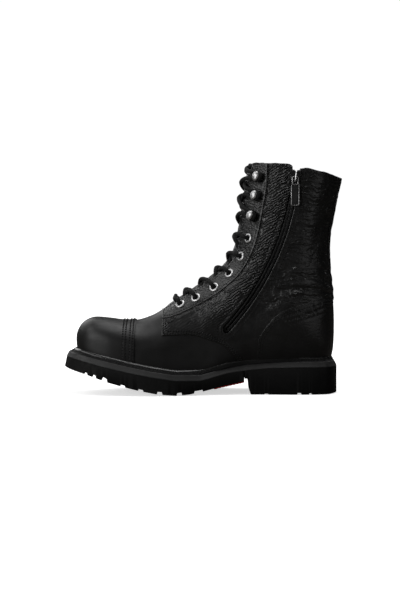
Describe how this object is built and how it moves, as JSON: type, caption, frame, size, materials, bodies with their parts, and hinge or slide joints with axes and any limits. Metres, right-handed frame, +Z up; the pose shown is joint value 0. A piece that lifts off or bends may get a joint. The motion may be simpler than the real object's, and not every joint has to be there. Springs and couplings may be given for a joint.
{
  "type": "fire boot",
  "caption": "Black leather lace-up safety boot for firefighters, with toe cap, speed hooks, curved side zip and lugged rubber sole with block heel.",
  "frame": {"origin": "middle of the footprint, on the ground under the sole", "axes": "+Z up, the toe points to -X and the heel to +X, the zip (inner) side of this right boot faces -Y"},
  "size_m": [0.3116, 0.113, 0.2565],
  "materials": {
    "smooth_leather": "satin",
    "grain_leather": "tumbled grain, satin",
    "lining_fabric": "knitted mesh, matt",
    "footbed_fabric": "matt",
    "rubber": "matt",
    "welt_rubber": "satin",
    "red_rubber": "satin",
    "cork": "matt",
    "insole_board": "matt fibre board",
    "stiffener_plastic": "matt",
    "steel": "satin",
    "eyelet_metal": "antique nickel",
    "hook_metal": "antique nickel",
    "zip_metal": "gunmetal",
    "zip_teeth": "satin",
    "zip_tape": "herringbone, matt",
    "lace_cord": "round braid, matt",
    "aglet_plastic": "gloss"
  },
  "bodies": {
    "boot": {"outsole_forefoot": "rubber", "outsole_heel": "rubber", "arch_insert": "red_rubber", "midsole": "rubber", "welt": "welt_rubber", "cork_filler": "cork", "steel_shank": "steel", "insole_board": "insole_board", "footbed": "footbed_fabric", "toe_cap": "smooth_leather", "steel_toe": "steel", "vamp": "smooth_leather", "vamp_lining": "lining_fabric", "shaft_lining_front": "lining_fabric", "shaft_lining_rear": "lining_fabric", "heel_lining": "lining_fabric", "heel_counter": "grain_leather", "heel_stiffener": "stiffener_plastic", "backstay": "grain_leather", "tongue": "grain_leather", "quarter_medial": "grain_leather", "quarter_lateral": "grain_leather", "facing_medial": "grain_leather", "facing_lateral": "grain_leather", "lace": "lace_cord", "aglet_medial": "aglet_plastic", "aglet_lateral": "aglet_plastic", "zip_tape_front": "zip_tape", "zip_tape_rear": "zip_tape", "zip_chain_front": "zip_teeth", "zip_chain_rear": "zip_teeth", "zip_top_stop_front": "zip_metal", "zip_top_stop_rear": "zip_metal", "zip_bottom_stop": "zip_metal", "eyelet_medial_1": "eyelet_metal", "eyelet_medial_2": "eyelet_metal", "eyelet_medial_3": "eyelet_metal", "eyelet_medial_4": "eyelet_metal", "eyelet_medial_5": "eyelet_metal", "eyelet_medial_6": "eyelet_metal", "hook_medial_1": "hook_metal", "hook_medial_2": "hook_metal", "hook_medial_3": "hook_metal", "eyelet_lateral_1": "eyelet_metal", "eyelet_lateral_2": "eyelet_metal", "eyelet_lateral_3": "eyelet_metal", "eyelet_lateral_4": "eyelet_metal", "eyelet_lateral_5": "eyelet_metal", "eyelet_lateral_6": "eyelet_metal", "hook_lateral_1": "hook_metal", "hook_lateral_2": "hook_metal", "hook_lateral_3": "hook_metal"},
    "slider": {"zip_slider": "zip_metal"},
    "pull": {"zip_pull": "zip_metal"}
  },
  "joints": [
    {"name": "zip_run", "type": "hinge", "parent": "boot", "child": "slider", "pos_m": [-0.188, -0.041, 0.27], "axis": [0, 1, 0], "range_deg": [0, 35], "deforming": ["zip_chain_front", "zip_chain_rear"]},
    {"name": "pull_swing", "type": "hinge", "parent": "slider", "child": "pull", "pos_m": [0.1022, -0.0447, 0.2396], "axis": [-1, 0, 0], "range_deg": [0, 160]}
  ]
}
